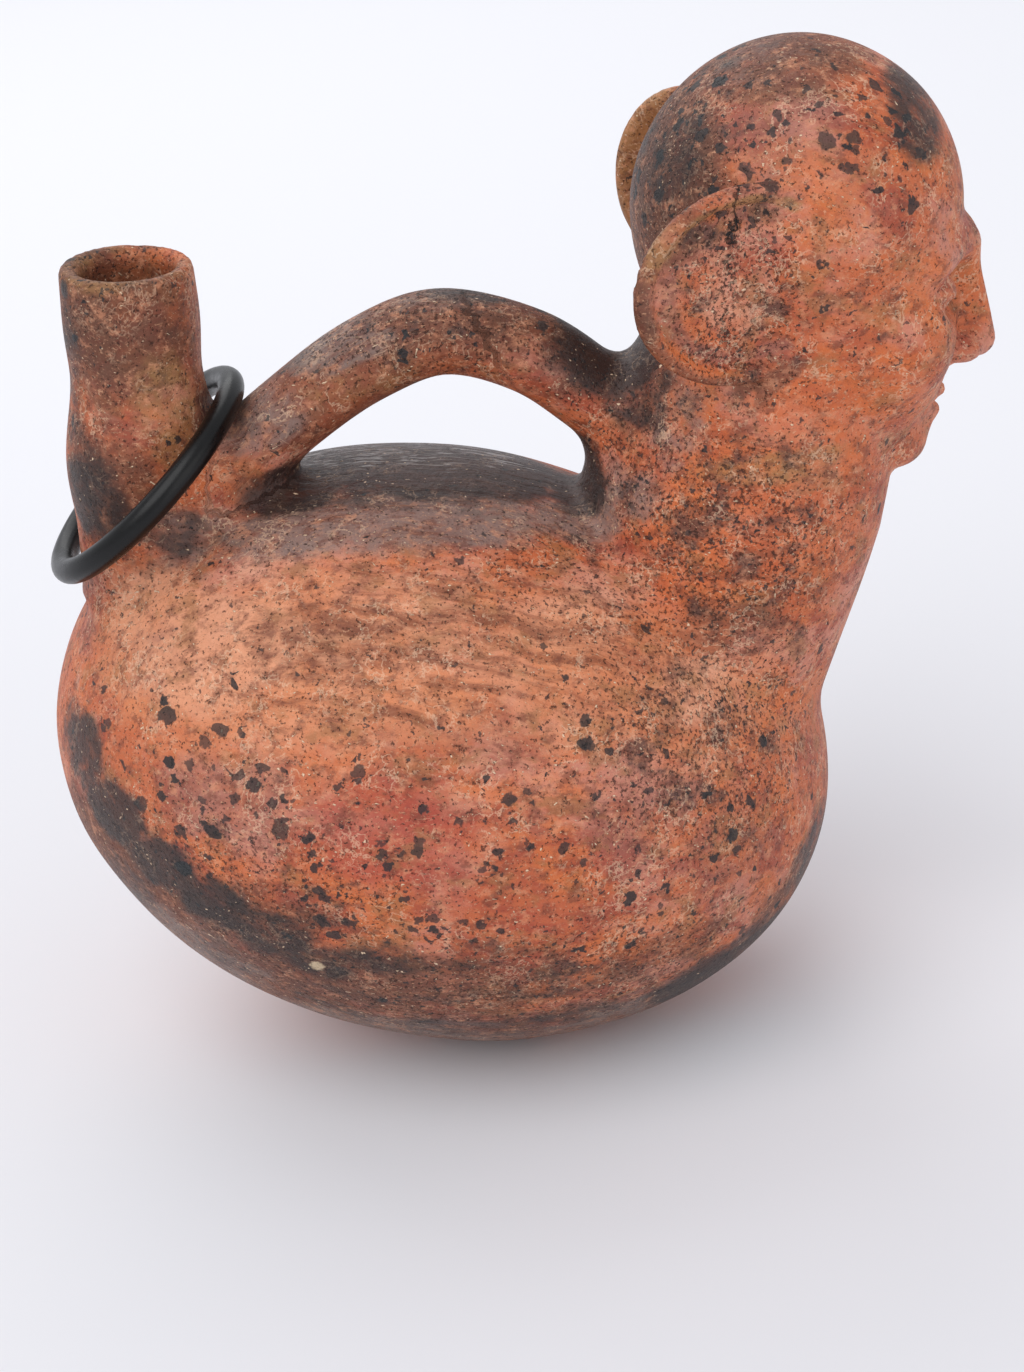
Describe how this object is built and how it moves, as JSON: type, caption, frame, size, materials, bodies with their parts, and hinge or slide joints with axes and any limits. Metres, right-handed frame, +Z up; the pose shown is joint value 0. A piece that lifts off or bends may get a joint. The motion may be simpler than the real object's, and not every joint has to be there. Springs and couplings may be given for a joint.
{
  "type": "stirrup spout vessel",
  "caption": "Hollow burnished earthenware bottle with a round body, an upright spout, an arched bridge handle and a neck that ends in a modelled head.",
  "frame": {"origin": "middle of the small flat that the vessel stands on, on its underside", "axes": "+Z up; +X the way the head looks, from the spout to the head; +Y the vessel's left side"},
  "size_m": [0.2049, 0.1288, 0.2097],
  "materials": {
    "fired_clay": "red slip, burnished, with dark fire clouds and mineral spots",
    "ring_rubber": "satin moulded"
  },
  "bodies": {
    "root": {"vessel": "fired_clay", "rubber_ring": "ring_rubber"}
  },
  "joints": []
}
